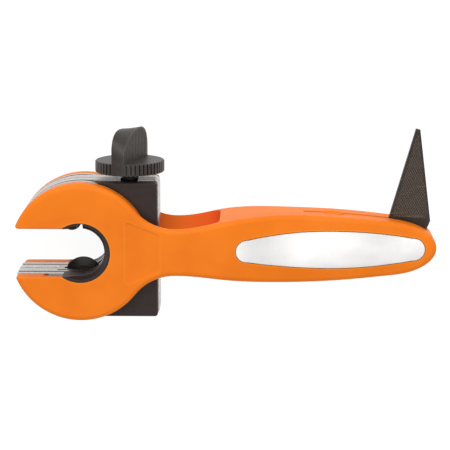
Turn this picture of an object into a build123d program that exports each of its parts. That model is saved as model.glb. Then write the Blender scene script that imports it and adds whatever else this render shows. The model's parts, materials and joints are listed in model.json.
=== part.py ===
from build123d import *
import os
from math import atan2, cos, degrees, hypot, radians, sin

# Open-mouth ratcheting cutter for small copper tube, in millimetres.
# Origin: on the tube's axis, at the middle of the tool's thickness.
# +X runs along the handle, away from the mouth. +Z is the tube's axis, out of the front face.
# The feed knob and the reamer stand up along +Y.

# ---------------------------------------------------------------- driving dimensions
# mouth and jaw plates
MOUTH_GAP = 24.4            # between the lips, takes a 22 mm tube
JAW_R = 35.0                # outer radius of the jaw plates and of the head's nose
HALF_T = 21.0               # half of the tool's thickness at the jaws
JAW_PLATE_T = 7.5
LIP_ROUND = 1.0
EDGE_ROUND = 2.6

# fits
RUN = 0.05                  # radial clearance of pins that turn
HUB_FIT = 0.07              # running clearance of the hub ring in its bearing
SLIDE_FIT = 0.12            # each side of sliding pieces
GAP = 0.3                   # room round pieces that only pass each other
HEAD_ROOM = 0.7             # between the head's faces and the jaw plates
SWING_ROOM = 3.1            # between the knob's sweep and the grip

# cutter head
HUB_WALL = 3.1              # wall of the C-shaped ring that the head turns on
HUB_INSET = 0.6             # the ring's face stands back from the jaw plate's
HUB_NOTCH = 3.2             # gap in the hub ring between the rollers
CONE_RISE = 2.4             # lead-in cone of the hub ring
CONE_FLARE = 1.7
BODY_HALF = 7.4             # half thickness of the two bright bodies together
COVER_T = 2.0
BLOCK_WALL = 14.9           # from the screw's axis to the back face of the head
BLACK_INSET = 0.6           # the covers stand back from the bodies' edges
BLOCK_CORNER = 2.7
COVER_CORNER = 1.5
SIDE_PLATE_X = 8.8          # back edge of the bright side plates
PARTING_CHAMFER = 0.25
COVER_CHAMFER = 0.4

# rollers
ROLLER_R = 5.0
ROLLER_X = 5.25
ROLLER_HALF = 6.0
ROLLER_SINK = 1.6           # axis of the rollers beyond the mouth's edge
ROLLER_PIN_R = 1.5
ROLLER_GROOVE = (0.8, 0.5)  # half width and depth
ROLLER_ROOM = 0.22          # round the rollers in the bodies
PIN_CAP = 0.2               # cover left over the blind ends of pins

# cutting wheel and carrier
WHEEL_R = 9.5
WHEEL_SINK = 3.4            # axis of the wheel beyond the mouth's edge, at rest
WHEEL_HALF = 1.45
WHEEL_HUB_R = 5.2
WHEEL_TAPER = (2.6, 0.95)   # width and half thickness of the ground bevel's foot
WHEEL_EDGE = 0.06           # half thickness of the cutting edge
WHEEL_PIN_R = 2.0
CARRIER_HALF = 5.0
CARRIER_X = -13.0           # nose of the carrier
CARRIER_CORNER = 4.0
CARRIER_ABOVE = 3.6         # carrier above and below the wheel's axis
CARRIER_BELOW = 7.9
CARRIER_ROUND = 1.4
LEG_HALF = 6.0
LEG_ROOM = 2.7              # between the raised leg and the thrust collar
FEED_UP = 11.5
FEED_DOWN = 6.5

# feed screw
SCREW_INSET = 12.0          # axis of the screw beyond the throat
THREAD_R = 3.5
JOURNAL_R = 3.0
COLLAR_R = 5.6
COLLAR_T = 2.0
COLLAR_DEPTH = 5.8          # top of the collar below the head's edge
SCREW_END_DEPTH = 6.0       # tip of the screw above the head's lower edge

# knob
KNOB_R = 17.5
KNOB_RISE = 3.3             # underside of the flange above the head
KNOB_T = 5.9
KNOB_CHAMFER = 0.5
BOSS_R = 4.35
BOSS_DEPTH = 3.5            # foot of the boss inside the head
BOSS_FLARE = (6.2, 2.2)     # radius and height of the cone under the flange
RIBS = 50
RIB_DEPTH = 0.75
RIB_SHARE = 0.44            # rib's top as a share of the pitch
RIB_FLANK = 0.12
FIN_T = 6.4
FIN_RISE = 16.1
FIN_TURN = 17.0             # degrees, near end of the fin towards the mouth
FIN_CREST = 5.0             # crest of each face beyond the knob's axis
FIN_LOW_END = 1.5           # where the long slope of each face ends, above the flange
FIN_HIGH_END = 3.5          # where the steep end of each face starts to curve in

# ratchet
TEETH = 36
RATCHET_BAND = 6.2          # from the bearing to the tips of the teeth
TOOTH_DEPTH = 1.5
RATCHET_T = 4.3
RATCHET_GAP = 0.9           # running room round the ring's teeth
PAWL_TEETH = 4              # teeth between the handle's axis and each pawl's nose
PAWL_T = 3.6
PAWL_RISE = 1.1             # underside of the pawls above the head
PAWL_REACH = (5.1, 3.5)     # pivot beyond the teeth and off the axis
PAWL_EYE_R = 2.9
PAWL_PIN_R = 1.5
PAWL_LIFT = 8.0
DOWEL_R = 1.25
DOWEL_ANGLES = (0, 105, -105)
LEAF = (4.2, 0.5, 0.85)     # half length, thickness and arch of the leaf behind a pawl

# handle
WAIST_GAP = 8.4             # narrowest place of the neck behind the head
WAIST_HALF = 11.9
NECK_WALL = 3.0
SWING_EDGE_ROUND = 6.0
GRIP_LENGTH = 107.5         # solid part of the handle
GRIP_LIFT = 0.8             # the grip's middle stands off the tube's axis
GRIP_STATIONS = ((-1.5, 14.6), (35.5, 17.2), (80.5, 14.2), (99.5, 9.9))           # along the grip, half height
# along the grip, how much thinner than the jaws on each side, crown
FORM_STATIONS = ((-11.5, 0.0, 0.0), (-5.5, 0.02, 0.05), (1.5, 0.4, 0.2), (12.5, 2.0, 0.8), (24.5, 4.1, 1.8),
                 (40.5, 5.6, 2.5), (78.5, 6.8, 2.6), (98.5, 7.8, 2.4), (114.5, 9.4, 2.2))
FORM_REACH = 24.0           # half width of the form, clear of the outline
CROWN_REACH = 17.0          # half width at which the crown has fallen by its stated value
PANEL_DEPTH = 0.6           # shallow panel in the outside of each neck
PANEL_MARGINS = (7.4, 7.3)  # from the bearing and from the waist
PANEL_HALVES = (16.5, 9.5)
PANEL_CORNER = 1.6

# inlay
INLAY_MARGINS = (6.5, 6.0)  # from both ends of the grip
INLAY_HALF = 9.4
INLAY_T = 1.4
INLAY_GAP = 0.3
INLAY_TIP = (6.0, 5.6)      # length and half height of the rounded ends

# reamer
REAMER_T = 3.0
REAMER_INSET = (11.0, 3.5)  # pivot from the end of the grip and off the axis
REAMER_LENGTH = 56.8
REAMER_TANG_R = 6.6
REAMER_PIN_R = 2.0
REAMER_PIN_HALF = 8.0
REAMER_FOLD = 78.0
REAMER_BEVEL = 0.9
REAMER_SIDE_FIT = 0.45      # round the blade in its slot
REAMER_LEAF = (-3.2, 5.8, 0.7)                                                    # from, to, thickness
SCOOP = (12.2, 2.2, 6.0)    # radius, depth and width of the thumb-nail scoop
SCOOP_PLACE = 56.5          # along the grip

# fasteners
SCREW_HEAD_R = 2.7
SCREW_SHANK_R = 1.5
SCREW_HEAD_T = 2.2
SOCKET = (1.4, 1.2)         # radius and depth of the hexagon socket
HEAD_FIT = 0.1              # round the screw heads
SCREW_TIP = 8.0             # length of the handle screws' threads in the front shell
SEAT_DEPTH = 4.5            # of the handle screws' heads
BLOCK_SCREW_INSET = (4.2, 7.5)
NOSE_SCREW_INSET = 6.2
NOSE_SCREW_ANGLES = (133.0, -140.5)
HANDLE_SCREWS = ((11.5, 10.2, 19.0), (11.5, -9.2, 19.0), (28.5, -11.8, 16.4))     # along the grip, y, surface

FAR = 300.0

# ---------------------------------------------------------------- sizes that follow
BEARING_R = MOUTH_GAP / 2 + HUB_WALL                # hole in each jaw plate that the hub ring turns in
HUB_R = BEARING_R - HUB_FIT
HUB_FACE = HALF_T - HUB_INSET
HEAD_HALF = HALF_T - JAW_PLATE_T - HEAD_ROOM        # half thickness of the whole head
PLATE_Z = BODY_HALF + COVER_T                       # inner face of the side plates
SCREW_X = MOUTH_GAP / 2 + SCREW_INSET
BLOCK_X = SCREW_X + BLOCK_WALL                      # back face of the head
ROLLER_Y = MOUTH_GAP / 2 + ROLLER_SINK
WHEEL_Y = -MOUTH_GAP / 2 - WHEEL_SINK
CARRIER_TOP = WHEEL_Y + CARRIER_ABOVE
CARRIER_BOTTOM = WHEEL_Y - CARRIER_BELOW
COLLAR_TOP = JAW_R - COLLAR_DEPTH
COLLAR_FOOT = COLLAR_TOP - COLLAR_T
LEG_TOP = COLLAR_FOOT - FEED_UP - LEG_ROOM
SCREW_END_Y = SCREW_END_DEPTH - JAW_R
BOSS_Y = JAW_R - BOSS_DEPTH
KNOB_Y = JAW_R + KNOB_RISE
KNOB_TOP = KNOB_Y + KNOB_T + FIN_RISE
FIN_SIDE = KNOB_R * sin(radians(FIN_TURN)) + FIN_T / 2
SWING_R = round(hypot(SCREW_X + FIN_SIDE, KNOB_TOP) + SWING_ROOM, 1)     # what head and knob need in the fork
RATCHET_R = BEARING_R + RATCHET_BAND
ROOT_R = RATCHET_R - TOOTH_DEPTH
TOOTH_PITCH = 360 / TEETH
PAWL_ANGLE = PAWL_TEETH * TOOTH_PITCH               # where each pawl's nose meets the ring
PAWL_PIVOT = (RATCHET_R + PAWL_REACH[0], PAWL_REACH[1])
PAWL_TOP = HEAD_HALF + PAWL_RISE + PAWL_T
PAWL_PIN_TOP = PAWL_TOP + PAWL_PIN_R
RING_TOP = HEAD_HALF + RATCHET_T
DOWEL_FOOT = PLATE_Z + 0.6
DOWEL_TOP = RING_TOP - 0.8
WAIST_X = BLOCK_X + WAIST_GAP
GRIP_END_X = SWING_R + GRIP_LENGTH
REAMER_PIVOT = (GRIP_END_X - REAMER_INSET[0], REAMER_INSET[1])
HEAD_SCREWS_DEEP = HEAD_HALF - 1.5                  # blind ends in the block and in the nose
HEAD_SCREWS_NOSE = HEAD_HALF - 0.8


# ---------------------------------------------------------------- helpers
def block(x0, x1, y0, y1, z0, z1):
    """A box from its two corners."""
    return Pos((x0 + x1) / 2, (y0 + y1) / 2, (z0 + z1) / 2) * Box(x1 - x0, y1 - y0, z1 - z0)


def rod(x, y, radius, z0, z1):
    """A cylinder parallel to the tube."""
    return Pos(x, y, (z0 + z1) / 2) * Cylinder(radius, z1 - z0)


def rod_y(x, radius, y0, y1):
    """A cylinder parallel to the feed screw."""
    return Pos(x, (y0 + y1) / 2, 0) * Rot(90, 0, 0) * Cylinder(radius, y1 - y0)


def slab(sketch, z0, z1):
    """A flat outline made solid between two heights."""
    return extrude(Pos(0, 0, z0) * sketch, amount=z1 - z0)


def to_rear(solid):
    """The twin of a front piece on the rear side."""
    return mirror(solid, about=Plane.XY)


def polar(radius, angle):
    """A point at a radius and an angle in degrees."""
    return (radius * cos(radians(angle)), radius * sin(radians(angle)))


def mouth_cut(throat_r, z0, z1):
    """The open mouth: two straight lips that run into a round throat."""
    lips = block(-FAR, 0, -MOUTH_GAP / 2, MOUTH_GAP / 2, z0, z1)
    return lips + rod(0, 0, throat_r, z0, z1)


# ---------------------------------------------------------------- handle shells
def outline_side(side):
    """One edge of the handle's plan from the jaw's front to the end of the grip: side is 1 above and -1 below."""
    lift = WAIST_X ** 2 / (JAW_R - WAIST_HALF)
    neck_r = (lift - JAW_R - WAIST_HALF) / 2
    reach = JAW_R / (JAW_R + neck_r)
    start = (WAIST_X * reach, side * (WAIST_HALF + neck_r) * reach)
    waist = (WAIST_X, side * WAIST_HALF)
    turn = (atan2(WAIST_HALF + neck_r, WAIST_X) + radians(90)) / 2
    middle = (WAIST_X - neck_r * cos(turn), side * (WAIST_HALF + neck_r - neck_r * sin(turn)))
    stations = [(SWING_R + along, GRIP_LIFT + side * half) for along, half in GRIP_STATIONS]
    jaw = ThreePointArc((-JAW_R, 0), polar(JAW_R, side * 100), start)
    neck = ThreePointArc(start, middle, waist)
    grip = Spline(waist, *stations, (GRIP_END_X, GRIP_LIFT), tangents=((1, 0), (0, -side)))
    return jaw + neck + grip


def handle_outline():
    """Plan of the handle: round jaw, hollow neck and a long grip."""
    return make_face(outline_side(1) + outline_side(-1))


def form_section(along, thinner, crown):
    """Cross-section of the grip's form at one station: flat below, crowned on top."""
    reach = FORM_REACH
    peak = HALF_T - thinner
    side = peak - crown * (reach / CROWN_REACH) ** 2
    low = -1.0
    if crown:
        top = ThreePointArc((-reach, side), (0, peak), (reach, side))
    else:
        top = Line((-reach, side), (reach, side))
    rest = Polyline((reach, side), (reach, low), (-reach, low), (-reach, side))
    plane = Plane(origin=(SWING_R + along, 0, 0), x_dir=(0, 1, 0), z_dir=(1, 0, 0))
    return plane * make_face(top + rest)


def grip_form():
    """The thickness of the front half along the grip: thinner and more crowned towards its end."""
    return loft([form_section(*station) for station in FORM_STATIONS])


def lens_outline(grow):
    """Plan of the inlay: two long arcs and two round ends."""
    x0 = SWING_R + INLAY_MARGINS[0] - grow
    x1 = GRIP_END_X - INLAY_MARGINS[1] + grow
    high = INLAY_HALF + grow
    tip, tip_half = INLAY_TIP[0], INLAY_TIP[1] + grow
    middle = (x0 + x1) / 2
    upper = ThreePointArc((x0 + tip, tip_half), (middle, high), (x1 - tip, tip_half))
    right = ThreePointArc((x1 - tip, tip_half), (x1, 0), (x1 - tip, -tip_half))
    lower = ThreePointArc((x1 - tip, -tip_half), (middle, -high), (x0 + tip, -tip_half))
    left = ThreePointArc((x0 + tip, -tip_half), (x0, 0), (x0 + tip, tip_half))
    return Pos(0, GRIP_LIFT, 0) * make_face(upper + right + lower + left)


def lens_pocket(grow):
    """The skin of the grip under the inlay's outline, one inlay thick."""
    skin = slab(lens_outline(grow), 0, HALF_T) & grip_form()
    return skin - Pos(0, 0, -INLAY_T) * grip_form()


def panel_recess():
    """The shallow four-sided panel outside the neck."""
    x0 = BEARING_R + PANEL_MARGINS[0]
    x1 = WAIST_X - PANEL_MARGINS[1]
    y0, y1 = PANEL_HALVES
    face = make_face(Polyline((x0, -y0), (x0, y0), (x1, y1), (x1, -y1), close=True))
    face = fillet(face.vertices(), PANEL_CORNER)
    return slab(face, HALF_T - PANEL_DEPTH, HALF_T + 1)


def reamer_slot():
    """Half of the slot that the reamer folds into, open along the top of the grip."""
    px, py = REAMER_PIVOT
    half = REAMER_T / 2 + GAP
    out = offset(reamer_outline(), amount=REAMER_SIDE_FIT)
    folded = turn_about(REAMER_PIVOT, REAMER_FOLD) * out
    channel = make_hull((folded + Pos(0, JAW_R) * folded).edges())
    tang = Pos(px, py) * Circle(REAMER_TANG_R + 1)
    x0, x1, thick = REAMER_LEAF
    leaf_y = py - REAMER_TANG_R - thick - GAP
    leaf = block(px + x0 - GAP, px + x1 + GAP, leaf_y, py, -1, half)
    return slab(channel, -1, half) + slab(out + tang, -1, half) + leaf


def nail_scoop():
    """A shallow scoop across the top of the grip, to reach the folded blade."""
    radius, depth, width = SCOOP
    x = SWING_R + SCOOP_PLACE
    top = GRIP_LIFT + GRIP_STATIONS[1][1]
    scoop = rod(x, top + radius - depth, radius, -1, width)
    return chamfer(scoop.edges().group_by(Axis.Z)[-1], width / 3)


def pawl_pocket():
    """Room for the pawl, its lift and its spring, cut into the inside of the jaw pad."""
    pawl = offset(pawl_outline(), amount=GAP + 0.15)
    room = pawl
    for step in (0.5, 1.0):
        room = room + turn_about(PAWL_PIVOT, -PAWL_LIFT * step) * pawl
    half_length, thick, arch = LEAF
    spring = Rectangle(2 * (half_length + 2 * GAP), 2 * (arch + GAP))
    room = room + Pos(*spring_seat()) * Rot(0, 0, spring_angle()) * spring
    return slab(room, HALF_T - JAW_PLATE_T - 1, PAWL_TOP + GAP)


def turn_about(point, angle):
    """A turn about an axis parallel to the tube through a point."""
    x, y = point
    return Pos(x, y, 0) * Rot(0, 0, angle) * Pos(-x, -y, 0)


def front_form():
    """The whole front half's thickness: level over jaw and neck, then the grip's form."""
    joint_x = SWING_R + FORM_STATIONS[0][0]
    jaw = block(-FAR, WAIST_X, -FAR, FAR, -1, HALF_T)
    neck = block(0, joint_x, -FORM_REACH, FORM_REACH, -1, HALF_T)
    return jaw + (neck + grip_form())


def outer_rim(solid):
    """Edges round the outside face, without those that cross it."""
    rim = [e for e in solid.edges() if e.center().Z > HALF_T / 3 and abs(e.tangent_at(0.5).Z) < 0.7]
    return [e for e in rim if not (0 < e.center().X < GRIP_END_X / 2 and abs(e.tangent_at(0.5).Y) > 0.98)]


def shell_blank():
    """Front half of the handle before its cuts, with a soft outer edge all round."""
    solid = slab(handle_outline(), 0, HALF_T + 5) & front_form()
    return fillet(outer_rim(solid), EDGE_ROUND)


def shell():
    """What both handle shells share."""
    solid = shell_blank()
    inner = HALF_T - NECK_WALL
    swing = rod(0, 0, SWING_R, -1, inner)
    swing = fillet(swing.edges().group_by(Axis.Z)[-1], SWING_EDGE_ROUND)
    pad = rod(0, 0, JAW_R, HALF_T - JAW_PLATE_T, HALF_T)
    solid = solid - (swing - pad)
    solid = solid - rod(0, 0, JAW_R + 0.01, -1, HALF_T - JAW_PLATE_T)
    solid = solid - mouth_cut(BEARING_R, -1, HALF_T + 1)
    lips = [e for e in solid.edges() if abs(e.tangent_at(0.5).Z) > 0.99 and e.center().X < 0
            and abs(abs(e.center().Y) - MOUTH_GAP / 2) < 0.6]
    solid = fillet(lips, LIP_ROUND)
    solid = solid - panel_recess()
    return solid - lens_pocket(INLAY_GAP) - reamer_slot() - nail_scoop()


def front_handle_shell():
    """Front shell: also carries the ratchet ring's pocket, both pawls and the screws' threads."""
    solid = shell()
    ring_room = rod(0, 0, RATCHET_R + RATCHET_GAP, HALF_T - JAW_PLATE_T - 1, RING_TOP + HEAD_ROOM)
    solid = solid - ring_room
    for turn in (0, -2 * PAWL_ANGLE):
        solid = solid - Rot(0, 0, turn) * pawl_pocket()
        solid = solid - Rot(0, 0, turn) * rod(*PAWL_PIVOT, PAWL_PIN_R, 0, PAWL_PIN_TOP)
    for along, y, surface in HANDLE_SCREWS:
        solid = solid - rod(SWING_R + along, y, SCREW_SHANK_R, -1, SCREW_TIP)
    return solid - rod(*REAMER_PIVOT, REAMER_PIN_R, -1, REAMER_PIN_HALF)


def rear_handle_shell():
    """Rear shell: takes the heads of the handle screws."""
    solid = shell()
    for along, y, surface in HANDLE_SCREWS:
        x = SWING_R + along
        solid = solid - rod(x, y, SCREW_SHANK_R, -1, FAR)
        solid = solid - rod(x, y, SCREW_HEAD_R + HEAD_FIT, surface - SEAT_DEPTH, FAR)
    solid = solid - rod(*REAMER_PIVOT, REAMER_PIN_R, -1, REAMER_PIN_HALF)
    return to_rear(solid)


def inlay():
    """Thin metal lens that follows the crown of the grip."""
    return lens_pocket(0)


# ---------------------------------------------------------------- cutter head layers
def head_outline(inset, corner):
    """Round nose and square block, with the mouth left out."""
    r = JAW_R - inset
    face = Circle(r) + Pos((BLOCK_X - inset) / 2, 0) * Rectangle(BLOCK_X - inset, 2 * r)
    return fillet(face.vertices().group_by(Axis.X)[-1], corner)


def carrier_outline(room, up, down):
    """Side view of the carrier, or of its cavity with room round it and travel up and down."""
    low = CARRIER_BOTTOM - down - room
    foot_top = CARRIER_TOP + up + room
    leg_top = LEG_TOP + up + room
    nose = CARRIER_X - room
    leg0 = SCREW_X - LEG_HALF - room
    leg1 = SCREW_X + LEG_HALF + room
    face = make_face(Polyline((nose, low), (leg1, low), (leg1, leg_top), (leg0, leg_top), (leg0, foot_top),
                              (nose, foot_top), close=True))
    corner = face.vertices().sort_by_distance((nose, low, 0))[0]
    return fillet(corner, CARRIER_CORNER)


def carrier_room():
    """The cavity that the wheel carrier slides in, with its whole travel."""
    half = CARRIER_HALF + SLIDE_FIT
    return slab(carrier_outline(SLIDE_FIT, FEED_UP, FEED_DOWN), -half, half)


def head_screw_places():
    """Two screws in the block, two in the nose."""
    x = BLOCK_X - BLOCK_SCREW_INSET[0]
    y = JAW_R - BLOCK_SCREW_INSET[1]
    return [(x, y), (x, -y)] + [polar(JAW_R - NOSE_SCREW_INSET, angle) for angle in NOSE_SCREW_ANGLES]


def head_screw_holes(z0, z1):
    """Shank holes of the four long screws."""
    return Compound([rod(x, y, SCREW_SHANK_R, z0, z1) for x, y in head_screw_places()])


def head_body():
    """Front half of the bright body, with its cavities."""
    solid = slab(head_outline(0, BLOCK_CORNER), 0, BODY_HALF) - mouth_cut(MOUTH_GAP / 2, -1, FAR)
    rim = [e for e in solid.edges().group_by(Axis.Z)[0]]
    solid = chamfer(rim, PARTING_CHAMFER)
    solid = solid - carrier_room()
    wheel_y = WHEEL_Y - FEED_DOWN
    wheel_room = WHEEL_R + GAP
    slot = WHEEL_HALF + GAP
    solid = solid - (rod(0, wheel_y, wheel_room, -1, slot) + block(-wheel_room, wheel_room, wheel_y, 0, -1, slot))
    for x in (-ROLLER_X, ROLLER_X):
        solid = solid - rod(x, ROLLER_Y, ROLLER_R + ROLLER_ROOM, -1, ROLLER_HALF + ROLLER_ROOM)
        solid = solid - rod(x, ROLLER_Y, ROLLER_PIN_R, -1, FAR)
    solid = solid - rod_y(SCREW_X, THREAD_R + GAP, 0, COLLAR_FOOT)
    solid = solid - rod_y(SCREW_X, COLLAR_R + RUN, COLLAR_FOOT - RUN, COLLAR_TOP + RUN)
    solid = solid - rod_y(SCREW_X, JOURNAL_R + RUN, COLLAR_TOP, BOSS_Y)
    key = BOSS_R + RUN
    solid = solid - rod_y(SCREW_X, key, BOSS_Y - RUN, FAR)
    solid = solid - block(SCREW_X - key, SCREW_X + key, BOSS_Y, FAR, 0, FAR)
    return solid - head_screw_holes(-1, FAR)


def hub_ring():
    """The C-shaped ring on the cover that turns in the jaw plate, with a coned mouth."""
    inner_r = MOUTH_GAP / 2
    cone = Cone(inner_r, inner_r + CONE_FLARE, CONE_RISE, align=(Align.CENTER, Align.CENTER, Align.MAX))
    ring = rod(0, 0, HUB_R, HEAD_HALF - 1, HUB_FACE) - Pos(0, 0, HUB_FACE) * cone
    return ring - mouth_cut(inner_r, 0, FAR)


def hub_cover():
    """Black cover: a plate over the body, the flush block and the hub ring in one moulding."""
    outline = head_outline(BLACK_INSET, COVER_CORNER)
    plate = slab(outline, BODY_HALF, PLATE_Z)
    raised = slab(outline, BODY_HALF, HEAD_HALF) & block(SIDE_PLATE_X, FAR, -FAR, FAR, 0, FAR)
    solid = plate + raised + rod(0, 0, HUB_R, BODY_HALF, HEAD_HALF)
    rim = [e for e in solid.edges().group_by(Axis.Z)[-1] if e.center().X > BEARING_R]
    solid = chamfer(rim, COVER_CHAMFER)
    solid = solid - mouth_cut(MOUTH_GAP / 2, 0, FAR)
    solid = solid + hub_ring()
    solid = solid - block(-HUB_NOTCH / 2, HUB_NOTCH / 2, ROLLER_R, BEARING_R - HUB_INSET, 0, FAR)
    for x in (-ROLLER_X, ROLLER_X):
        solid = solid - rod(x, ROLLER_Y, ROLLER_PIN_R, 0, PLATE_Z - PIN_CAP)
    key = BOSS_R + RUN
    tongue = block(SCREW_X - BOSS_R, SCREW_X + BOSS_R, BOSS_Y + GAP, JAW_R - BLACK_INSET, key, BODY_HALF + 1)
    return solid + tongue


def front_hub_cover():
    """Front cover: blind threads for the head screws and sockets for the dowels."""
    solid = hub_cover()
    solid = solid - head_screw_holes(0, HEAD_SCREWS_DEEP)
    for x, y in dowel_places():
        solid = solid - rod(x, y, DOWEL_R, DOWEL_FOOT, FAR)
    return solid


def rear_hub_cover():
    """Rear cover: takes the two screw heads in the block."""
    solid = hub_cover() - head_screw_holes(0, FAR)
    for x, y in head_screw_places()[:2]:
        solid = solid - rod(x, y, SCREW_HEAD_R + HEAD_FIT, HEAD_HALF - SCREW_HEAD_T - PIN_CAP, FAR)
    return to_rear(solid)


def side_plate():
    """Bright C-shaped plate on the nose of the head."""
    solid = slab(Circle(JAW_R), PLATE_Z, HEAD_HALF)
    solid = chamfer(solid.edges().group_by(Axis.Z)[-1], COVER_CHAMFER)
    solid = solid & block(-FAR, SIDE_PLATE_X, -FAR, FAR, 0, FAR)
    return solid - rod(0, 0, HUB_R, 0, FAR) - mouth_cut(MOUTH_GAP / 2, 0, FAR)


def front_side_plate():
    """Front plate: threads of the two nose screws and dowel holes."""
    solid = side_plate() - head_screw_holes(0, HEAD_SCREWS_NOSE)
    for x, y in dowel_places():
        solid = solid - rod(x, y, DOWEL_R, DOWEL_FOOT, FAR)
    return solid


def rear_side_plate():
    """Rear plate: takes the heads of the two nose screws."""
    solid = side_plate() - head_screw_holes(0, FAR)
    for x, y in head_screw_places()[2:]:
        solid = solid - rod(x, y, SCREW_HEAD_R + HEAD_FIT, HEAD_HALF - SCREW_HEAD_T - PIN_CAP, FAR)
    return to_rear(solid)


# ---------------------------------------------------------------- ratchet
def ratchet_ring():
    """C-shaped ring of saw teeth that runs in the front jaw plate."""
    points = []
    for tooth in range(TEETH):
        face_angle = tooth * TOOTH_PITCH + PAWL_ANGLE
        points.append(polar(ROOT_R, face_angle))
        points.append(polar(RATCHET_R, face_angle))
    outline = make_face(Polyline(*points, close=True))
    ring = slab(outline, HEAD_HALF, RING_TOP) - mouth_cut(HUB_R, 0, FAR)
    for x, y in dowel_places():
        ring = ring - rod(x, y, DOWEL_R, 0, DOWEL_TOP)
    return ring


def dowel_places():
    """Three dowels round the ring."""
    return [polar((HUB_R + ROOT_R) / 2, angle) for angle in DOWEL_ANGLES]


def ratchet_dowels():
    """The three dowels that key the ring to the head."""
    return [rod(x, y, DOWEL_R, DOWEL_FOOT, DOWEL_TOP) for x, y in dowel_places()]


def pawl_outline():
    """A pawl seen from the front: an eye on the pivot and a nose in the teeth."""
    slip = TOOTH_PITCH / 10
    tip = polar(ROOT_R + 0.3, PAWL_ANGLE - slip)
    face = polar(RATCHET_R + 2.4, PAWL_ANGLE - slip)
    heel = polar(RATCHET_R + 0.35, PAWL_ANGLE - TOOTH_PITCH)
    under = polar(RATCHET_R + 0.75, PAWL_ANGLE - 1.9 * TOOTH_PITCH)
    px, py = PAWL_PIVOT
    shoulder = (px + 2.2, py + 3.0)
    back = (px + 2.6, py - 1.0)
    foot = (px - 1.6, py - 2.4)
    body = make_face(Polyline(tip, face, shoulder, back, foot, under, heel, close=True))
    return body + Pos(px, py) * Circle(PAWL_EYE_R)


def pawl(turn):
    """One pawl, with the bore that it swings on."""
    solid = slab(pawl_outline(), PAWL_TOP - PAWL_T, PAWL_TOP)
    solid = solid - rod(*PAWL_PIVOT, PAWL_PIN_R + RUN, 0, FAR)
    return Rot(0, 0, turn) * solid


def pawl_pins():
    """Pivot pins of both pawls, pressed into the front jaw plate."""
    pin = rod(*PAWL_PIVOT, PAWL_PIN_R, PAWL_TOP - PAWL_T, PAWL_PIN_TOP)
    return [pin, Rot(0, 0, -2 * PAWL_ANGLE) * pin]


def spring_angle():
    """Direction of the leaf spring's flat side."""
    nose = polar(RATCHET_R, PAWL_ANGLE)
    return degrees(atan2(nose[1] - PAWL_PIVOT[1], nose[0] - PAWL_PIVOT[0]))


def spring_seat():
    """Middle of the spring, behind the pawl's back."""
    nose = polar(RATCHET_R, PAWL_ANGLE)
    out = polar(PAWL_EYE_R + 1.8, spring_angle() - 90)
    return ((nose[0] + PAWL_PIVOT[0]) / 2 + out[0], (nose[1] + PAWL_PIVOT[1]) / 2 + out[1])


def pawl_spring(turn):
    """Arched leaf behind a pawl."""
    half, thick, arch = LEAF
    outer = ThreePointArc((-half, 0), (0, arch), (half, 0))
    inner = ThreePointArc((half, -thick), (0, arch - thick), (-half, -thick))
    leaf = make_face(outer + Line(outer @ 1, inner @ 0) + inner + Line(inner @ 1, outer @ 0))
    leaf = Pos(*spring_seat()) * Rot(0, 0, spring_angle()) * leaf
    return Rot(0, 0, turn) * slab(leaf, PAWL_TOP - PAWL_T, PAWL_TOP)


# ---------------------------------------------------------------- rollers, wheel, carrier
def roller(side):
    """Tube roller with a relief groove in the middle."""
    x = side * ROLLER_X
    half, depth = ROLLER_GROOVE
    solid = rod(x, ROLLER_Y, ROLLER_R, -ROLLER_HALF, ROLLER_HALF)
    solid = chamfer(solid.edges().filter_by(GeomType.CIRCLE), COVER_CHAMFER)
    groove = rod(x, ROLLER_Y, ROLLER_R + 1, -half, half) - rod(x, ROLLER_Y, ROLLER_R - depth, -FAR, FAR)
    return solid - groove - rod(x, ROLLER_Y, ROLLER_PIN_R + RUN, -FAR, FAR)


def roller_pins():
    """Axles of both rollers, held in the black covers."""
    reach = PLATE_Z - PIN_CAP
    return [rod(x, ROLLER_Y, ROLLER_PIN_R, -reach, reach) for x in (-ROLLER_X, ROLLER_X)]


def wheel_carrier():
    """Slide that holds the wheel: a slotted foot under the mouth and a threaded leg on the screw."""
    solid = slab(carrier_outline(0, 0, 0), -CARRIER_HALF, CARRIER_HALF)
    top = [e for e in solid.edges() if abs(e.center().Y - CARRIER_TOP) < 0.01 and abs(e.tangent_at(0.5).X) > 0.9]
    solid = fillet(top, CARRIER_ROUND)
    slot = WHEEL_HALF + GAP
    solid = solid - block(-WHEEL_R - GAP, WHEEL_R + GAP, -FAR, FAR, -slot, slot)
    solid = solid - rod(0, WHEEL_Y, WHEEL_PIN_R, -FAR, FAR)
    return solid - rod_y(SCREW_X, THREAD_R + RUN, -FAR, FAR)


def cutter_wheel():
    """Cutting wheel: a hub with two faces that taper to the edge."""
    bore = WHEEL_PIN_R + RUN
    width, foot = WHEEL_TAPER
    upper = [(bore, WHEEL_HALF), (WHEEL_HUB_R, WHEEL_HALF), (WHEEL_R - width, foot), (WHEEL_R, WHEEL_EDGE)]
    lower = [(r, -z) for r, z in reversed(upper)]
    profile = Plane.XZ * make_face(Polyline(*upper, *lower, close=True))
    return Pos(0, WHEEL_Y, 0) * revolve(profile, Axis.Z)


def wheel_pin():
    """Axle of the wheel, flush with the carrier."""
    return rod(0, WHEEL_Y, WHEEL_PIN_R, -CARRIER_HALF, CARRIER_HALF)


# ---------------------------------------------------------------- feed screw and knob
def feed_screw():
    """Screw with a thrust collar and a shank that the knob is moulded on."""
    shank = rod_y(SCREW_X, JOURNAL_R, COLLAR_TOP, KNOB_Y + KNOB_T)
    collar = rod_y(SCREW_X, COLLAR_R, COLLAR_FOOT, COLLAR_TOP)
    thread = rod_y(SCREW_X, THREAD_R, SCREW_END_Y, COLLAR_FOOT)
    thread = chamfer(thread.edges().group_by(Axis.Y)[0], THREAD_R / 4)
    return shank + collar + thread


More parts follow.
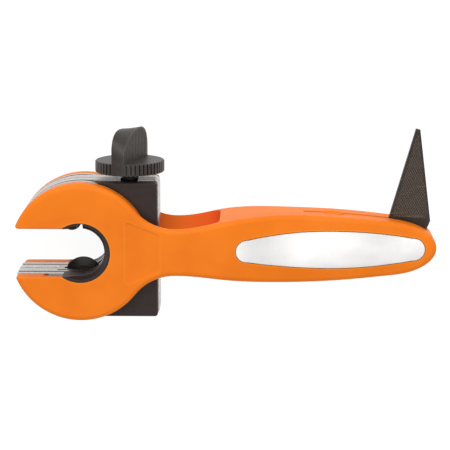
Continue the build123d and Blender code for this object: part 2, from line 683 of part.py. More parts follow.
def fin_face(side):
    """One side face of the fin: a long slope towards one end and a steep one towards the other."""
    foot = -KNOB_CHAMFER
    top = FIN_RISE
    crest = side * FIN_CREST
    steep = side * KNOB_R
    low, high = FIN_LOW_END, FIN_HIGH_END
    slope = Bezier((-steep, low), (-steep, top * 0.66), (-steep * 0.3, top), (crest, top))
    drop = Bezier((crest, top), (steep * 0.74, top), (steep, top * 0.82), (steep, high))
    ends = Polyline((steep, high), (steep, foot), (-steep, foot), (-steep, low))
    return Pos(0, 0, side * FIN_T / 2) * make_face(slope + drop + ends)


def fin():
    """Grip on top of the knob, whose rim twists from one side face to the other."""
    return loft([fin_face(-1), fin_face(1)], ruled=True) & Rot(90, 0, 0) * Cylinder(KNOB_R, FAR)


def flange():
    """Round flange with ribs all round its rim."""
    disc = rod_y(0, KNOB_R, 0, KNOB_T)
    disc = chamfer(disc.edges().filter_by(GeomType.CIRCLE), KNOB_CHAMFER)
    pitch = 360 / RIBS
    floor_r = KNOB_R - RIB_DEPTH
    points = []
    for step in range(RIBS):
        start = step * pitch
        points += [polar(KNOB_R + RIB_DEPTH, start), polar(KNOB_R + RIB_DEPTH, start + RIB_SHARE * pitch)]
        points += [polar(floor_r, start + (RIB_SHARE + RIB_FLANK) * pitch), polar(floor_r, start + (1 - RIB_FLANK) * pitch)]
    outline = make_face(Polyline(*points, close=True))
    return disc & Rot(90, 0, 0) * extrude(outline, amount=3 * KNOB_T, both=True)


def feed_knob():
    """Moulded knob: fluted flange, fin, and a flared boss that enters the head."""
    near_end = block(-FIN_T / 2, FIN_T / 2, 0, KNOB_T + 1, KNOB_R - 3 * RIB_DEPTH, FAR)
    near_end = near_end & Rot(90, 0, 0) * Cylinder(KNOB_R, FAR)
    grip = Rot(0, 90, 0) * Pos(0, KNOB_T, 0) * fin()
    solid = flange() + Rot(0, -FIN_TURN, 0) * (grip + near_end)
    flare_r, flare = BOSS_FLARE
    cone = Cone(BOSS_R, flare_r, flare, align=(Align.CENTER, Align.CENTER, Align.MAX))
    solid = Pos(SCREW_X, KNOB_Y, 0) * (solid + Rot(-90, 0, 0) * cone)
    solid = solid + rod_y(SCREW_X, BOSS_R, BOSS_Y, KNOB_Y)
    return solid - rod_y(SCREW_X, JOURNAL_R, 0, KNOB_Y + KNOB_T)


# ---------------------------------------------------------------- reamer
def reamer_outline():
    """Tapered blade and its round tang, standing up from the grip."""
    px, py = REAMER_PIVOT
    tip_y = py + REAMER_LENGTH
    left = [(px + 0.4, tip_y), (px - 12.6, py + 11.1), (px - 11.1, py + 8.8), (px - 6.2, py + 2.2)]
    right = [(px + 5.6, py + 3.4), (px + 8.5, py + 9.7), (px + 2.6, tip_y - 0.5)]
    blade = make_face(Polyline(*left, *right, close=True))
    return blade + Pos(px, py) * Circle(REAMER_TANG_R)


def reamer_blade():
    """Flat blade with a ground back edge and the bore of its pivot."""
    px, py = REAMER_PIVOT
    solid = slab(reamer_outline(), -REAMER_T / 2, REAMER_T / 2)
    back = [e for e in solid.edges() if e.length > REAMER_LENGTH * 0.7 and e.center().X > px]
    solid = chamfer(back, REAMER_BEVEL)
    return solid - rod(px, py, REAMER_PIN_R + RUN, -FAR, FAR)


def reamer_pin():
    """Pivot of the reamer, pressed into both shells."""
    return rod(*REAMER_PIVOT, REAMER_PIN_R, -REAMER_PIN_HALF, REAMER_PIN_HALF)


def reamer_spring():
    """Friction leaf under the tang."""
    px, py = REAMER_PIVOT
    x0, x1, thick = REAMER_LEAF
    y = py - REAMER_TANG_R - RUN
    half = REAMER_T / 2 - SLIDE_FIT
    return block(px + x0, px + x1, y - thick, y, -half, half)


# ---------------------------------------------------------------- fasteners
def socket_screw(x, y, head_z, tip_z):
    """Socket screw that enters from the rear."""
    head = rod(x, y, SCREW_HEAD_R, head_z, head_z + SCREW_HEAD_T)
    shank = rod(x, y, SCREW_SHANK_R, head_z + SCREW_HEAD_T, tip_z)
    socket = Pos(x, y, head_z) * extrude(RegularPolygon(SOCKET[0], 6), amount=SOCKET[1])
    return head + shank - socket


def head_screws():
    """Four long screws through every layer of the head."""
    tips = [HEAD_SCREWS_DEEP, HEAD_SCREWS_DEEP, HEAD_SCREWS_NOSE, HEAD_SCREWS_NOSE]
    return [socket_screw(x, y, PIN_CAP - HEAD_HALF, tip) for (x, y), tip in zip(head_screw_places(), tips)]


def handle_screws():
    """Three screws that join the shells."""
    solids = []
    for along, y, surface in HANDLE_SCREWS:
        head_z = SEAT_DEPTH - SCREW_HEAD_T - surface
        solids.append(socket_screw(SWING_R + along, y, head_z, SCREW_TIP))
    return solids


# ---------------------------------------------------------------- write the parts
def parts():
    """Every node and the solids that it holds."""
    body = head_body()
    lens = inlay()
    return {
        "front_handle_shell": front_handle_shell(),
        "rear_handle_shell": rear_handle_shell(),
        "front_inlay": lens,
        "rear_inlay": to_rear(lens),
        "handle_screws": handle_screws(),
        "head_front_body": body,
        "head_rear_body": to_rear(body),
        "front_hub_cover": front_hub_cover(),
        "rear_hub_cover": rear_hub_cover(),
        "front_side_plate": front_side_plate(),
        "rear_side_plate": rear_side_plate(),
        "head_screws": head_screws(),
        "ratchet_ring": ratchet_ring(),
        "ratchet_dowels": ratchet_dowels(),
        "upper_pawl": pawl(0),
        "lower_pawl": pawl(-2 * PAWL_ANGLE),
        "pawl_pins": pawl_pins(),
        "upper_pawl_spring": pawl_spring(0),
        "lower_pawl_spring": pawl_spring(-2 * PAWL_ANGLE),
        "left_roller": roller(-1),
        "right_roller": roller(1),
        "roller_pins": roller_pins(),
        "wheel_carrier": wheel_carrier(),
        "cutter_wheel": cutter_wheel(),
        "wheel_pin": wheel_pin(),
        "feed_screw": feed_screw(),
        "feed_knob": feed_knob(),
        "reamer_blade": reamer_blade(),
        "reamer_pin": reamer_pin(),
        "reamer_spring": reamer_spring(),
    }


os.makedirs("parts", exist_ok=True)
for name, shape in parts().items():
    piece = Compound(shape) if isinstance(shape, list) else shape
    export_step(piece, os.path.join("parts", name + ".step"))
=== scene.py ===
import json
import math

import bpy
from mathutils import Matrix, Vector


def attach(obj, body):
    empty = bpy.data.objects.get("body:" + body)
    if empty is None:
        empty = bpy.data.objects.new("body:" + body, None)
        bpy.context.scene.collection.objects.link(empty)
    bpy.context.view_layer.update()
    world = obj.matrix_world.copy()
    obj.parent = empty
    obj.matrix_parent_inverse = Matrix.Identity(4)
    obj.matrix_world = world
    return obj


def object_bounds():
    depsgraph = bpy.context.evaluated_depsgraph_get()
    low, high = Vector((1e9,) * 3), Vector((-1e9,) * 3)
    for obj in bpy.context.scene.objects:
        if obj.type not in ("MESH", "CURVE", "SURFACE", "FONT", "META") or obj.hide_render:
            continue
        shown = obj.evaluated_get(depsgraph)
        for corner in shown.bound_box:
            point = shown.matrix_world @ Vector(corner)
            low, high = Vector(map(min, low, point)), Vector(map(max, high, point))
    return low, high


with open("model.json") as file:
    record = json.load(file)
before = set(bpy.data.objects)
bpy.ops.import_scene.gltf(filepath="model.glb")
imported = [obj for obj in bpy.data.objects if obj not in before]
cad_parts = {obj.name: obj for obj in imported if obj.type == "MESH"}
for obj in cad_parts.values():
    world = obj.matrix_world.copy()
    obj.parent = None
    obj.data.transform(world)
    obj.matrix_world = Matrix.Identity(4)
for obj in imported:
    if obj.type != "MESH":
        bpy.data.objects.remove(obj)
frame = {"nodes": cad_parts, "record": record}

# Open-mouth ratcheting tube cutter. Everything is in metres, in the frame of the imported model:
# +X along the handle, +Y towards the feed knob, +Z out of the front face.
cad_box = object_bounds()

MM = 0.001
X, Y, Z = 0, 1, 2
WIDE = 100.0                                # beyond the tool on every side of its head, in millimetres


# ---------------------------------------------------------------- material helpers
class Finish:
    """A node material for one finish of the tool."""

    def __init__(self, name, colour, roughness, metallic=0.0):
        self.material = bpy.data.materials.new(name)
        self.material.use_nodes = True
        self.nodes = self.material.node_tree.nodes
        self.links = self.material.node_tree.links
        self.shader = self.nodes["Principled BSDF"]
        self.set("Base Color", (*colour, 1.0))
        self.set("Roughness", roughness)
        self.set("Metallic", metallic)
        self.height = None

    def set(self, socket, value):
        """Sets a number or a colour on the shader's own socket."""
        self.shader.inputs[socket].default_value = value

    def add(self, kind, **settings):
        """Adds a node and sets its properties."""
        node = self.nodes.new(kind)
        for key, value in settings.items():
            setattr(node, key, value)
        return node

    def coordinates(self, stretch=(1.0, 1.0, 1.0), turn=(0.0, 0.0, 0.0), centre=(0.0, 0.0, 0.0)):
        """Object coordinates in millimetres, turned and stretched."""
        place = self.add("ShaderNodeTexCoord")
        mapping = self.add("ShaderNodeMapping")
        mapping.inputs["Location"].default_value = [-c / MM for c in centre]
        mapping.inputs["Scale"].default_value = [s / MM for s in stretch]
        mapping.inputs["Rotation"].default_value = [math.radians(t) for t in turn]
        self.links.new(place.outputs["Object"], mapping.inputs["Vector"])
        return mapping.outputs["Vector"]

    def noise(self, where, scale, detail=3.0, rough=0.5):
        """Noise at a scale in cycles per millimetre."""
        node = self.add("ShaderNodeTexNoise")
        node.inputs["Scale"].default_value = scale
        node.inputs["Detail"].default_value = detail
        node.inputs["Roughness"].default_value = rough
        self.links.new(where, node.inputs["Vector"])
        return node.outputs["Fac"]

    def between(self, value, low, high, out_low, out_high):
        """Maps a value's range onto another one, clamped."""
        node = self.add("ShaderNodeMapRange")
        ends = {"From Min": low, "From Max": high, "To Min": out_low, "To Max": out_high}
        for label, number in ends.items():
            node.inputs[label].default_value = number
        self.links.new(value, node.inputs["Value"])
        return node.outputs["Result"]

    def mottle(self, value, light, dark):
        """Blends the colour between two tones by a value from 0 to 1."""
        node = self.add("ShaderNodeMix", data_type="RGBA")
        node.inputs["A"].default_value = (*dark, 1.0)
        node.inputs["B"].default_value = (*light, 1.0)
        self.links.new(value, node.inputs["Factor"])
        return self.paint(node.outputs["Result"])

    def over(self, mask, tone):
        """Lays another tone over what is painted, by a mask."""
        node = self.add("ShaderNodeMix", data_type="RGBA")
        socket = self.shader.inputs["Base Color"]
        if socket.is_linked:
            self.links.new(socket.links[0].from_socket, node.inputs["A"])
        else:
            node.inputs["A"].default_value = socket.default_value
        node.inputs["B"].default_value = (*tone, 1.0)
        self.links.new(mask, node.inputs["Factor"])
        return self.paint(node.outputs["Result"])

    def paint(self, socket):
        """Feeds the shader's colour."""
        self.links.new(socket, self.shader.inputs["Base Color"])
        return socket

    def roughen(self, value, low, high):
        """Varies the roughness with a value from 0 to 1."""
        self.links.new(self.between(value, 0.25, 0.75, low, high), self.shader.inputs["Roughness"])

    def emboss(self, value, depth_mm, strength=1.0):
        """Adds a height to the bump, one on top of the other."""
        bump = self.add("ShaderNodeBump")
        bump.inputs["Strength"].default_value = strength
        bump.inputs["Distance"].default_value = depth_mm * MM
        self.links.new(value, bump.inputs["Height"])
        if self.height is not None:
            self.links.new(self.height, bump.inputs["Normal"])
        self.height = bump.outputs["Normal"]
        self.links.new(self.height, self.shader.inputs["Normal"])

    def edges(self, radius_mm, low, high):
        """A mask that is 1 along sharp and rounded edges."""
        bevel = self.add("ShaderNodeBevel", samples=4)
        bevel.inputs["Radius"].default_value = radius_mm * MM
        plain = self.add("ShaderNodeNewGeometry")
        dot = self.add("ShaderNodeVectorMath", operation="DOT_PRODUCT")
        self.links.new(bevel.outputs["Normal"], dot.inputs[0])
        self.links.new(plain.outputs["Normal"], dot.inputs[1])
        return self.between(dot.outputs["Value"], high, low, 0.0, 1.0)

    def along(self, axis):
        """One of the three object coordinates, in millimetres."""
        apart = self.add("ShaderNodeSeparateXYZ")
        self.links.new(self.coordinates(), apart.inputs["Vector"])
        return apart.outputs[axis]

    def inside(self, low, high):
        """A mask that is 1 inside a box, given by two corners in millimetres."""
        mask = None
        for axis, (a, b) in enumerate(zip(low, high)):
            near = self.add("ShaderNodeMath", operation="COMPARE")
            near.inputs[1].default_value = (a + b) / 2
            near.inputs[2].default_value = (b - a) / 2
            self.links.new(self.along(axis), near.inputs[0])
            part = near.outputs["Value"]
            mask = part if mask is None else self.product(mask, part)
        return mask

    def layer(self, low, high):
        """A mask that is 1 between two heights through the head, in millimetres."""
        return self.inside((-WIDE, -WIDE, low), (WIDE, WIDE, high))

    def within(self, centre, across, radius, fade):
        """A mask that is 1 nearer to an axis than a radius; across has 0 along the axis."""
        length = self.add("ShaderNodeVectorMath", operation="LENGTH")
        shift = self.add("ShaderNodeVectorMath", operation="SUBTRACT")
        flat = self.add("ShaderNodeVectorMath", operation="MULTIPLY")
        shift.inputs[1].default_value = centre
        flat.inputs[1].default_value = across
        self.links.new(self.coordinates(), shift.inputs[0])
        self.links.new(shift.outputs["Vector"], flat.inputs[0])
        self.links.new(flat.outputs["Vector"], length.inputs[0])
        return self.between(length.outputs["Value"], radius - fade, radius, 1.0, 0.0)

    def product(self, a, b):
        """Two masks multiplied."""
        node = self.add("ShaderNodeMath", operation="MULTIPLY")
        self.links.new(a, node.inputs[0])
        self.links.new(b, node.inputs[1])
        return node.outputs["Value"]


# ---------------------------------------------------------------- finishes
SWING_R = 71.6                              # radius of the room for head and knob in the fork
FORK_ROOM = ((36.0, -30.0, -18.05), (72.5, 30.0, 18.05))
FORK_PAINTED_SHADE = (48.0, 66.0)                   # where the painted shade inside the fork turns redder towards the grip
INLAY_SHADE_RUN = (85.0, 150.0)                   # where the painted shade on the inlay grows along the grip
INLAY_SLANT = (6.0, -8.0)                   # and across it, from the knob's side down
BODY_JOINTS = ((-0.4, 0.4), (6.9, 7.36), (-7.36, -7.1))   # heights of the joints that show on the bodies
PLATE_JOINT = (7.44, 8.1)                   # and on the side plate above them
KNOB_AXIS = (24.2, 0.0, 0.0)
GROOVE_R = 17.35                            # just inside the crests of the flange's ribs
GROOVE_FADE = 0.3
FLANGE_Y = (38.6, 43.9)
JOINT_PAINTED_SHADE = (0.016, 0.013, 0.011)             # painted shade in the joints between the layers of the head, where their grooves are dark


def powder_orange():
    """Satin orange coat on the cast handle: orange peel, a painted highlight along the edges, and painted
    reflected light and painted shade inside the fork.
    """
    coat = Finish("powder_orange", (0.88, 0.205, 0.008), 0.50)
    coat.set("Specular IOR Level", 0.16)
    space = coat.coordinates()
    cloud = coat.between(coat.noise(space, 0.05, 3.0), 0.35, 0.65, 0.0, 1.0)
    coat.mottle(cloud, (0.95, 0.222, 0.008), (0.89, 0.196, 0.006))
    # painted highlight: the rounded edges are painted a paler orange where the light catches them
    coat.over(coat.edges(1.4, 0.80, 0.995), (0.97, 0.31, 0.02))
    swing = coat.within((0, 0, 0), (1, 1, 0), SWING_R + 0.15, 0.05)
    fork = coat.product(swing, coat.inside(*FORK_ROOM))
    # painted reflected light: the inside of the fork is painted a brighter, redder orange
    coat.over(fork, (1.0, 0.22, 0.024))
    # painted shade: deeper red towards the grip end of the fork
    painted_fork_shade = coat.between(coat.along(X), *FORK_PAINTED_SHADE, 0.0, 0.6)
    coat.over(coat.product(fork, painted_fork_shade), (0.95, 0.10, 0.024))
    coat.roughen(coat.noise(space, 0.9, 4.0), 0.44, 0.56)
    coat.emboss(coat.noise(space, 1.1, 2.0), 0.03, 0.35)
    coat.emboss(coat.noise(space, 5.0, 2.0), 0.006, 0.3)
    return coat.material


def brushed_inlay():
    """Bright metal, brushed across the grip, with painted shade that greys it towards the end of the handle
    and a painted shadow along its rim.
    """
    metal = Finish("brushed_inlay", (0.86, 0.85, 0.84), 0.38, 0.9)
    lines = metal.noise(metal.coordinates((1.0, 0.04, 0.3)), 5.0, 5.0, 0.65)
    cloud = metal.noise(metal.coordinates((0.5, 1.0, 1.0)), 0.07, 2.0)
    metal.mottle(metal.between(lines, 0.3, 0.7, 0.0, 1.0), (0.93, 0.92, 0.91), (0.84, 0.83, 0.82))
    lengthways = metal.between(metal.along(X), *INLAY_SHADE_RUN, 0.1, 1.0)
    crossways = metal.between(metal.along(Y), *INLAY_SLANT, 0.25, 1.0)
    # painted shade, broken up by a cloud, greying the inlay along the grip and down from the knob's side
    inlay_painted_shade = metal.product(metal.product(lengthways, crossways), metal.between(cloud, 0.25, 0.6, 0.4, 1.0))
    metal.over(inlay_painted_shade, (0.60, 0.58, 0.565))
    # painted shadow: a dark brown band along the inlay's edges, where the groove round it is in shade
    metal.over(metal.edges(0.5, 0.85, 0.99), (0.30, 0.17, 0.11))
    metal.roughen(cloud, 0.32, 0.42)
    metal.emboss(lines, 0.01, 0.3)
    return metal.material


def satin_body():
    """Bright satin metal of the head's two bodies, drawn in the direction of the tube."""
    metal = Finish("satin_body", (0.60, 0.58, 0.55), 0.32, 1.0)
    space = metal.coordinates()
    drawn = metal.noise(metal.coordinates((1.0, 1.0, 0.06)), 3.0, 4.0, 0.6)
    metal.mottle(metal.between(drawn, 0.3, 0.7, 0.0, 1.0), (0.60, 0.575, 0.55), (0.38, 0.355, 0.34))
    metal.over(metal.edges(0.5, 0.80, 0.99), (0.90, 0.89, 0.87))
    # painted shade: near-black bands at the heights of the joints
    for low, high in BODY_JOINTS:
        metal.over(metal.layer(low, high), JOINT_PAINTED_SHADE)
    metal.roughen(metal.noise(space, 0.6, 3.0), 0.24, 0.40)
    metal.emboss(metal.noise(space, 6.0, 3.0), 0.01, 0.3)
    metal.emboss(drawn, 0.008, 0.3)
    return metal.material


def machined_plate():
    """Side plates, ground flat."""
    metal = Finish("machined_plate", (0.56, 0.54, 0.52), 0.30, 1.0)
    lines = metal.noise(metal.coordinates((0.05, 1.0, 1.0), (0, 0, 35)), 5.0, 4.0, 0.6)
    metal.mottle(metal.between(lines, 0.3, 0.7, 0.0, 1.0), (0.58, 0.56, 0.54), (0.38, 0.36, 0.345))
    metal.over(metal.edges(0.5, 0.80, 0.99), (0.88, 0.87, 0.86))
    # painted shade: a near-black band at the joint above the side plate
    metal.over(metal.layer(*PLATE_JOINT), JOINT_PAINTED_SHADE)
    metal.roughen(lines, 0.24, 0.38)
    metal.emboss(lines, 0.008, 0.3)
    return metal.material


def moulded_black():
    """Satin black moulding of the head covers, with a fine spark-eroded grain and rubbed edges."""
    plastic = Finish("moulded_black", (0.026, 0.015, 0.012), 0.48)
    plastic.set("Specular IOR Level", 0.26)
    space = plastic.coordinates()
    plastic.mottle(plastic.noise(space, 0.3, 3.0), (0.034, 0.020, 0.016), (0.019, 0.011, 0.009))
    plastic.over(plastic.edges(0.6, 0.85, 0.99), (0.075, 0.060, 0.052))
    plastic.roughen(plastic.noise(space, 1.2, 3.0), 0.38, 0.54)
    plastic.emboss(plastic.noise(space, 4.0, 3.0), 0.02, 0.4)
    return plastic.material


def knob_plastic():
    """Satin grey-black moulding of the feed knob, paler where fingers rub its ribs, with painted shade in
    the grooves of its flange.
    """
    plastic = Finish("knob_plastic", (0.040, 0.034, 0.029), 0.45)
    plastic.set("Specular IOR Level", 0.35)
    space = plastic.coordinates()
    plastic.mottle(plastic.noise(space, 0.35, 4.0, 0.6), (0.054, 0.046, 0.040), (0.026, 0.021, 0.018))
    plastic.over(plastic.edges(0.5, 0.75, 0.98), (0.125, 0.112, 0.100))
    # painted shade: the grooves between the flange's ribs, inside the crests, are painted nearly black
    groove = plastic.within(KNOB_AXIS, (1, 0, 1), GROOVE_R, GROOVE_FADE)
    rim = plastic.inside((-WIDE, FLANGE_Y[0], -WIDE), (WIDE, FLANGE_Y[1], WIDE))
    plastic.over(plastic.product(groove, rim), (0.006, 0.005, 0.004))
    plastic.roughen(plastic.noise(space, 1.5, 3.0), 0.36, 0.52)
    plastic.emboss(plastic.noise(space, 3.5, 3.0), 0.03, 0.45)
    return plastic.material


def file_steel():
    """Dark hardened steel of the reamer: cloudy scale, light scratches, rubbed edges."""
    steel = Finish("file_steel", (0.040, 0.030, 0.024), 0.44, 0.2)
    steel.set("Specular IOR Level", 0.25)
    space = steel.coordinates()
    cloud = steel.noise(space, 0.2, 4.0)
    steel.mottle(steel.between(cloud, 0.3, 0.7, 0.0, 1.0), (0.046, 0.034, 0.027), (0.024, 0.017, 0.013))
    scratch = steel.noise(steel.coordinates((0.03, 1.0, 0.2), (0, 0, 62)), 1.6, 2.0, 0.4)
    steel.over(steel.between(scratch, 0.68, 0.72, 0.0, 0.5), (0.30, 0.26, 0.22))
    steel.over(steel.edges(0.35, 0.80, 0.985), (0.12, 0.095, 0.075))
    steel.roughen(cloud, 0.32, 0.48)
    steel.emboss(steel.noise(space, 5.0, 3.0), 0.01, 0.4)
    return steel.material


def dark_steel(name, colour, roughness):
    """Blackened hard steel with a rubbed edge."""
    steel = Finish(name, colour, roughness, 0.7)
    space = steel.coordinates()
    cloud = steel.noise(space, 0.4, 4.0)
    pale = [c * 1.35 for c in colour]
    deep = [c * 0.7 for c in colour]
    steel.mottle(steel.between(cloud, 0.3, 0.7, 0.0, 1.0), pale, deep)
    steel.over(steel.edges(0.25, 0.85, 0.99), [c * 2.5 for c in colour])
    steel.roughen(cloud, roughness - 0.08, roughness + 0.08)
    steel.emboss(steel.noise(space, 4.0, 3.0), 0.01, 0.3)
    return steel.material


def ground_steel(name, colour, roughness):
    """Plain ground or plated steel with fine lines."""
    steel = Finish(name, colour, roughness, 1.0)
    lines = steel.noise(steel.coordinates((1.0, 0.1, 1.0)), 4.0, 4.0, 0.6)
    pale = [min(1.0, c * 1.12) for c in colour]
    deep = [c * 0.8 for c in colour]
    steel.mottle(steel.between(lines, 0.3, 0.7, 0.0, 1.0), pale, deep)
    steel.roughen(lines, roughness - 0.06, roughness + 0.08)
    steel.emboss(lines, 0.008, 0.3)
    return steel.material


FINISHES = {
    "handle": powder_orange(),
    "inlay": brushed_inlay(),
    "head_body": satin_body(),
    "side_plate": machined_plate(),
    "head_cover": moulded_black(),
    "knob": knob_plastic(),
    "reamer": file_steel(),
    "wheel": dark_steel("wheel_steel", (0.010, 0.007, 0.006), 0.32),
    "roller": dark_steel("roller_steel", (0.020, 0.015, 0.013), 0.34),
    # painted highlight: the file teeth get a paler copy of the blade's steel so their ridges read as lit
    # lines
    "tooth": dark_steel("file_tooth_painted_highlight_steel", (0.085, 0.066, 0.052), 0.40),
    "ratchet": dark_steel("ratchet_steel", (0.16, 0.15, 0.14), 0.38),
    "carrier": ground_steel("carrier_steel", (0.44, 0.36, 0.32), 0.30),
    "screw": ground_steel("screw_steel", (0.50, 0.50, 0.50), 0.35),
    "pin": ground_steel("pin_steel", (0.60, 0.60, 0.60), 0.28),
    "spring": ground_steel("spring_steel", (0.45, 0.45, 0.47), 0.34),
    "fastener": ground_steel("fastener_steel", (0.30, 0.30, 0.31), 0.36),
}


def dress_nodes():
    """Gives every carried-over node the finish of its slot."""
    for row in frame["record"]["subparts"]:
        node = frame["nodes"][row["node"]]
        node.data.materials.clear()
        node.data.materials.append(FINISHES[row["material_slot"]])


# ---------------------------------------------------------------- repeated detail
def socket_of(tree, name):
    """The identifier of a tree's named input."""
    return next(item.identifier for item in tree.interface.items_tree if item.name == name)


def rod_tree(name, sides):
    """A node tree that lays a half-sunk rod on every point, with the point's own reach and turn."""
    tree = bpy.data.node_groups.new(name, "GeometryNodeTree")
    inputs = {"Points": "Geometry", "Width": "Float", "Height": "Float", "Finish": "Material"}
    for label, kind in inputs.items():
        tree.interface.new_socket(label, in_out="INPUT", socket_type="NodeSocket" + kind)
    tree.interface.new_socket("Rods", in_out="OUTPUT", socket_type="NodeSocketGeometry")
    nodes, link = tree.nodes, tree.links.new
    given = nodes.new("NodeGroupInput")
    rod = nodes.new("GeometryNodeMeshCylinder")
    rod.inputs["Vertices"].default_value = sides
    rod.inputs["Radius"].default_value = 0.5
    rod.inputs["Depth"].default_value = 1.0
    lie = nodes.new("GeometryNodeTransform")
    lie.inputs["Rotation"].default_value = (math.pi / 2, 0.0, 0.0)
    lie.inputs["Translation"].default_value = (0.0, 0.5, 0.0)
    reach = nodes.new("GeometryNodeInputNamedAttribute")
    reach.data_type = "FLOAT"
    reach.inputs["Name"].default_value = "reach"
    turn = nodes.new("GeometryNodeInputNamedAttribute")
    turn.data_type = "FLOAT_VECTOR"
    turn.inputs["Name"].default_value = "turn"
    spin = nodes.new("FunctionNodeEulerToRotation")
    size = nodes.new("ShaderNodeCombineXYZ")
    place = nodes.new("GeometryNodeInstanceOnPoints")
    real = nodes.new("GeometryNodeRealizeInstances")
    dress = nodes.new("GeometryNodeSetMaterial")
    result = nodes.new("NodeGroupOutput")
    link(rod.outputs["Mesh"], lie.inputs["Geometry"])
    link(given.outputs["Points"], place.inputs["Points"])
    link(lie.outputs["Geometry"], place.inputs["Instance"])
    link(turn.outputs["Attribute"], spin.inputs["Euler"])
    link(spin.outputs["Rotation"], place.inputs["Rotation"])
    link(given.outputs["Width"], size.inputs["X"])
    link(reach.outputs["Attribute"], size.inputs["Y"])
    link(given.outputs["Height"], size.inputs["Z"])
    link(size.outputs["Vector"], place.inputs["Scale"])
    link(place.outputs["Instances"], real.inputs["Geometry"])
    link(real.outputs["Geometry"], dress.inputs["Geometry"])
    link(given.outputs["Finish"], dress.inputs["Material"])
    link(dress.outputs["Geometry"], result.inputs["Rods"])
    return tree


def lay_rods(name, rods, width, height, finish, body, sides=8):
    """Makes one piece of many rods. Each rod is its foot, its reach and its turn, in metres and radians."""
    guide = bpy.data.meshes.new(name + "_guide")
    guide.from_pydata([foot for foot, reach, turn in rods], [], [])
    reaches = [reach for foot, reach, turn in rods]
    turns = [part for foot, reach, turn in rods for part in turn]
    guide.attributes.new("reach", "FLOAT", "POINT").data.foreach_set("value", reaches)
    guide.attributes.new("turn", "FLOAT_VECTOR", "POINT").data.foreach_set("vector", turns)
    carrier = bpy.data.objects.new(name + "_guide", guide)
    bpy.context.collection.objects.link(carrier)
    tree = rod_tree(name + "_tree", sides)
    rig = carrier.modifiers.new("rods", "NODES")
    rig.node_group = tree
    sizes = {"Width": width * MM, "Height": height * MM, "Finish": FINISHES[finish]}
    for label, value in sizes.items():
        rig[socket_of(tree, label)] = value
    shown = carrier.evaluated_get(bpy.context.evaluated_depsgraph_get())
    mesh = bpy.data.meshes.new_from_object(shown)
    mesh.name = name
    carrier.modifiers.remove(rig)
    bpy.data.objects.remove(carrier)
    piece = bpy.data.objects.new(name, mesh)
    bpy.context.collection.objects.link(piece)
    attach(piece, body)
    return piece


# ---------------------------------------------------------------- ribs on the knob's fin
KNOB_R = 17.5
FIN_FOOT = Vector((24.2, 44.2, 0.0))        # middle of the fin, on the flange
FIN_T = 6.4
FIN_RISE = 16.1
FIN_TURN = 17.0
FIN_CREST = 5.0
FIN_ENDS = (1.5, 3.5)                       # heights at which the long slope and the steep end start
FIN_RIB_PITCH = 2.1
FIN_RIB_WIDTH = 1.1
FIN_RIB_HEIGHT = 0.5
FIN_MARGIN = 1.0


def bezier(points, t):
    """A point on a cubic curve."""
    weights = ((1 - t) ** 3, 3 * t * (1 - t) ** 2, 3 * t * t * (1 - t), t ** 3)
    return [sum(w * p[i] for w, p in zip(weights, points)) for i in (0, 1)]


def fin_height(along):
    """Height of a side face of the fin, from its long slope at -KNOB_R to its steep end at +KNOB_R."""
    low, high = FIN_ENDS
    top, r = FIN_RISE, KNOB_R
    slope = ((-r, low), (-r, top * 0.66), (-r * 0.3, top), (FIN_CREST, top))
    drop = ((FIN_CREST, top), (r * 0.74, top), (r, top * 0.82), (r, high))
    curve = slope if along < FIN_CREST else drop
    low_t, high_t = 0.0, 1.0
    for _ in range(30):
        middle = (low_t + high_t) / 2
        if bezier(curve, middle)[0] < along:
            low_t = middle
        else:
            high_t = middle
    return bezier(curve, low_t)[1]


def fin_ribs():
    """Fine upright ribs on both side faces of the fin."""
    turn = math.radians(FIN_TURN)
    out = Vector((math.cos(turn), 0.0, math.sin(turn)))
    far = Vector((math.sin(turn), 0.0, -math.cos(turn)))
    rods = []
    reach = KNOB_R - FIN_MARGIN * 2
    count = int(2 * reach / FIN_RIB_PITCH)
    for side in (1, -1):
        for step in range(count + 1):
            along = (step - count / 2) * FIN_RIB_PITCH
            height = fin_height(along) - FIN_MARGIN
            if height < 2 * FIN_MARGIN:
                continue
            foot = FIN_FOOT + far * side * along + out * side * FIN_T / 2
            rods.append((foot * MM, height * MM, (0.0, math.pi / 2 - turn, 0.0)))
    lay_rods("fin_ribs", rods, FIN_RIB_WIDTH, FIN_RIB_HEIGHT, "knob", "knob")


# ---------------------------------------------------------------- file teeth on the reamer
REAMER_PIVOT = Vector((168.1, 3.5))
REAMER_HALF_T = 1.5
REAMER_EDGES = ((0.4, 56.8), (-12.6, 11.1), (8.5, 9.7), (2.6, 56.3))   # round the blade, from the pivot
TOOTH_MARGIN = 1.3
TOOTH_PITCH = 1.05
TOOTH_WIDTH = 0.36
TOOTH_HEIGHT = 0.36
TOOTH_ROWS = 60                             # tried on each side of the blade's middle
CUT_ANGLES = (52.0, 118.0)                  # of the fine up-cut and the overcut


def chord(corners, point, heading):
    """Where a line enters and leaves a convex outline, as distances along the line."""
    enter, leave = -math.inf, math.inf
    for a, b in zip(corners, corners[1:] + corners[:1]):
        edge = b - a
        normal = Vector((edge.y, -edge.x)).normalized()
        gap = (point - a).dot(normal) - TOOTH_MARGIN
        rate = heading.dot(normal)
        if abs(rate) < 1e-9:
            continue
        if rate > 0:
            enter = max(enter, -gap / rate)
        else:
            leave = min(leave, -gap / rate)
    return enter, leave


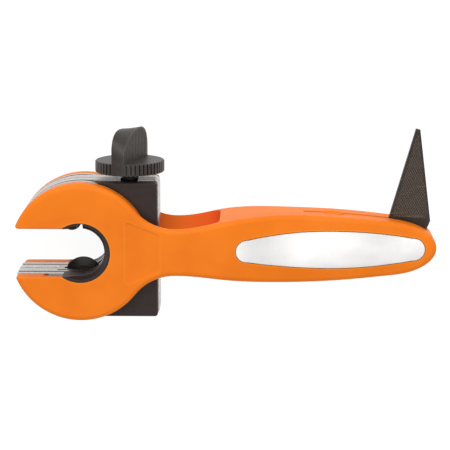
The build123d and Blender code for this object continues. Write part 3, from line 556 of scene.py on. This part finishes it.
def file_teeth():
    """Two crossed sets of fine ridges on both faces of the blade."""
    corners = [REAMER_PIVOT + Vector(corner) for corner in REAMER_EDGES]
    if sum((b - a).cross(c - b) for a, b, c in zip(corners, corners[1:], corners[2:])) > 0:
        corners.reverse()
    middle = sum(corners, Vector((0, 0))) / len(corners)
    rods = []
    for angle in CUT_ANGLES:
        heading = Vector((math.cos(math.radians(angle)), math.sin(math.radians(angle))))
        across = Vector((-heading.y, heading.x))
        for step in range(-TOOTH_ROWS, TOOTH_ROWS + 1):
            point = middle + across * step * TOOTH_PITCH
            enter, leave = chord(corners, point, heading)
            if leave - enter < TOOTH_PITCH:
                continue
            start = point + heading * enter
            turn = (0.0, 0.0, math.radians(angle - 90.0))
            for z in (-REAMER_HALF_T, REAMER_HALF_T):
                foot = Vector((start.x, start.y, z)) * MM
                rods.append((foot, (leave - enter) * MM, turn))
    lay_rods("file_teeth", rods, TOOTH_WIDTH, TOOTH_HEIGHT, "tooth", "reamer", sides=6)


# ---------------------------------------------------------------- stage, light and camera
FLOOR_HALF = 3.0
SURROUND = 0.45                             # strength of the white surroundings
LOOK_AT = Vector((72.75, 14.75, 21.0)) * MM
LOOK_FROM = Vector((0.017, 0.1977, 0.980))  # direction from the tool to the camera
DISTANCE = 0.900
LENS = 144.7


def floor(height):
    """A wide pale floor under the tool."""
    mesh = bpy.data.meshes.new("floor")
    turns = ((-1, -1), (1, -1), (1, 1), (-1, 1))
    corners = [(x * FLOOR_HALF, y * FLOOR_HALF, height) for x, y in turns]
    mesh.from_pydata(corners, [], [(0, 1, 2, 3)])
    ground = bpy.data.objects.new("floor", mesh)
    bpy.context.collection.objects.link(ground)
    paper = Finish("paper", (0.20, 0.20, 0.20), 0.9)
    paper.set("Specular IOR Level", 0.0)
    paper.set("Emission Color", (1.0, 1.0, 1.0, 1.0))
    paper.set("Emission Strength", 0.92)
    mesh.materials.append(paper.material)


def soft_light(name, place, size, power):
    """A square soft box that faces the tool."""
    lamp = bpy.data.lights.new(name, "AREA")
    lamp.shape = "SQUARE"
    lamp.size = size
    lamp.energy = power
    box = bpy.data.objects.new(name, lamp)
    box.location = place
    box.rotation_euler = (Vector((0.07, 0.0, 0.0)) - Vector(place)).to_track_quat("-Z", "Y").to_euler()
    bpy.context.collection.objects.link(box)


def lighting():
    """Even white surroundings with a large soft box beyond the knob and a weaker one in front."""
    world = bpy.data.worlds.new("studio")
    world.use_nodes = True
    background = world.node_tree.nodes["Background"]
    background.inputs["Color"].default_value = (1.0, 1.0, 1.0, 1.0)
    background.inputs["Strength"].default_value = SURROUND
    bpy.context.scene.world = world
    soft_light("key", (0.0, 0.75, 0.85), 0.9, 7.5)
    soft_light("overhead", (0.10, -0.22, 1.15), 0.7, 2.2)
    bpy.context.scene.view_settings.view_transform = "Standard"


def camera():
    """Nearly straight down on the front face, a little from the knob's side."""
    back = LOOK_FROM.normalized()
    lens = bpy.data.cameras.new("camera")
    lens.lens = LENS
    lens.sensor_width = 36.0
    lens.clip_start = 0.01
    eye = bpy.data.objects.new("camera", lens)
    side = Vector((0, 1, 0)).cross(back).normalized()
    up = back.cross(side)
    turn = Matrix((side, up, back)).transposed().to_4x4()
    eye.matrix_world = Matrix.Translation(LOOK_AT + back * DISTANCE) @ turn
    bpy.context.collection.objects.link(eye)
    bpy.context.scene.camera = eye


dress_nodes()
fin_ribs()
file_teeth()
floor(cad_box[0].z)
lighting()
camera()
